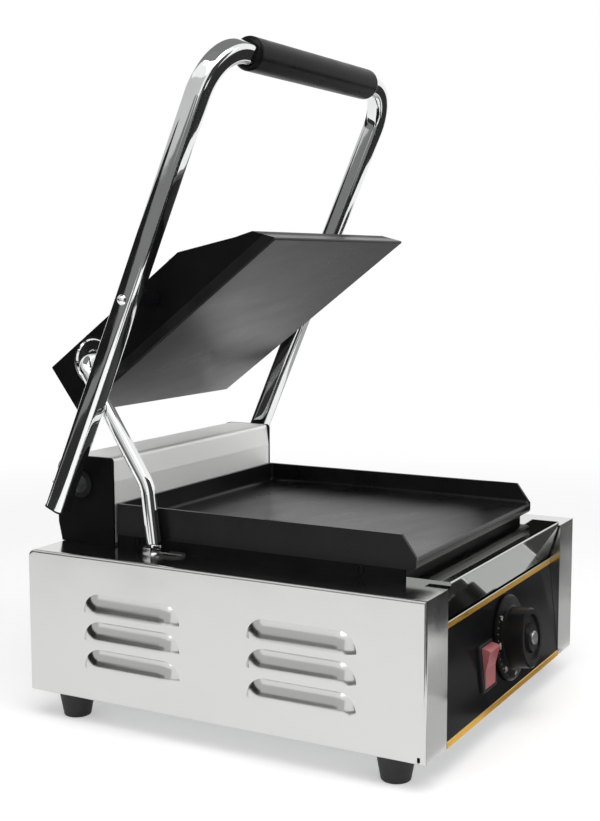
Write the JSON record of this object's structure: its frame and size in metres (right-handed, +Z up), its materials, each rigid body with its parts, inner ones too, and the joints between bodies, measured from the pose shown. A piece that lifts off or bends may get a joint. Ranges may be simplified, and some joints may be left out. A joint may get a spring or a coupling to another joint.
{
  "type": "contact grill",
  "caption": "Countertop contact grill: stainless base, open-fronted griddle pan and a floating upper plate on a bent tube handle.",
  "frame": {"origin": "middle of the base's footprint, on the table plane under the feet", "axes": "+Z up, -Y to the cook at the control panel, +X to the cook's right; lid drawn fully open"},
  "size_m": [0.3, 0.3376, 0.4694],
  "materials": {
    "stainless": "smooth bright stainless sheet with a soft sheen",
    "polished_stainless": "mirror-polished stainless sheet",
    "zinc_steel": "plain zinc-plated steel",
    "spring_steel": "oiled spring steel",
    "chrome": "bright chrome plate",
    "black_enamel": "glossy black enamel on sheet steel",
    "cast_enamel": "smooth semi-gloss black cooking surface on cast iron",
    "gold_trim": "gold-coloured metal strip with a pale edge",
    "black_phenolic": "satin black heat-resistant moulding",
    "black_plastic": "black plastic",
    "red_plastic": "translucent red plastic, unlit",
    "rubber": "black rubber",
    "element_steel": "dull heat-resisting steel",
    "brass": "plain brass",
    "ceramic": "white ceramic",
    "mineral_wool": "compressed mineral wool"
  },
  "bodies": {
    "base": {"side_panel_left": "stainless", "side_panel_right": "stainless", "base_floor": "zinc_steel", "rear_panel": "stainless", "casing_screws": "zinc_steel", "foot_fasteners": "zinc_steel", "front_visor": "polished_stainless", "control_panel": "black_enamel", "trim_strip_upper": "gold_trim", "trim_strip_lower": "gold_trim", "switch_housing": "black_plastic", "switch_blades": "brass", "thermostat_body": "element_steel", "thermostat_bulb": "element_steel", "griddle_pan": "cast_enamel", "griddle_skirt": "black_enamel", "pan_screws": "black_enamel", "lower_element": "element_steel", "lower_clamp_bars": "zinc_steel", "lower_clamp_fasteners": "zinc_steel", "lower_insulation": "mineral_wool", "heat_shield": "zinc_steel", "hinge_bed": "zinc_steel", "hinge_bracket_right": "black_enamel", "hinge_bracket_left": "black_enamel", "bracket_bolts": "zinc_steel", "hinge_cover": "stainless", "hinge_bushes": "black_plastic", "torsion_spring_left": "spring_steel", "torsion_spring_right": "spring_steel", "conduit_saddle": "chrome", "slot_trim": "rubber", "terminal_block": "ceramic", "cord_gland": "black_plastic", "gland_nut": "zinc_steel", "foot_front_left": "rubber", "foot_front_right": "rubber", "foot_rear_left": "rubber", "foot_rear_right": "rubber"},
    "lid_arms": {"handle_tube": "chrome", "handle_grip": "black_phenolic", "tube_end_plugs": "black_plastic", "hinge_shaft": "zinc_steel", "spring_collar": "zinc_steel", "hinge_bolts": "chrome", "pivot_bolts": "chrome", "pivot_spacers": "black_enamel"},
    "upper_plate": {"upper_griddle": "cast_enamel", "upper_cover": "black_enamel", "upper_element": "element_steel", "upper_clamp_bars": "zinc_steel", "upper_clamp_fasteners": "zinc_steel", "upper_insulation": "mineral_wool", "pivot_bosses": "zinc_steel", "conduit_tube": "chrome", "conduit_flange": "chrome"},
    "thermostat_knob": {"knob": "black_phenolic", "knob_cap": "chrome", "thermostat_shaft": "chrome"},
    "power_rocker": {"rocker": "red_plastic"}
  },
  "joints": [
    {"name": "lid_lift", "type": "hinge", "parent": "base", "child": "lid_arms", "pos_m": [0, 0.131, 0.164], "axis": [1, 0, 0], "range_deg": [0, 66.5], "stiffness_Nm_per_rad": 3, "springref_deg": -34.38},
    {"name": "plate_tilt", "type": "hinge", "parent": "lid_arms", "child": "upper_plate", "pos_m": [0, 0.07346, 0.29633], "axis": [1, 0, 0], "range_deg": [-29.6, 0]},
    {"name": "thermostat_turn", "type": "hinge", "parent": "base", "child": "thermostat_knob", "pos_m": [0.01, -0.14816, 0.059], "axis": [0, 0.9942, -0.1078], "range_deg": [0, 270]},
    {"name": "power_rock", "type": "hinge", "parent": "base", "child": "power_rocker", "pos_m": [-0.0353, -0.14903, 0.051], "axis": [-1, 0, 0], "range_deg": [0, 26]}
  ],
  "couplings": [
    {"joint": "plate_tilt", "follows": "lid_lift", "ratio": -0.44361}
  ]
}
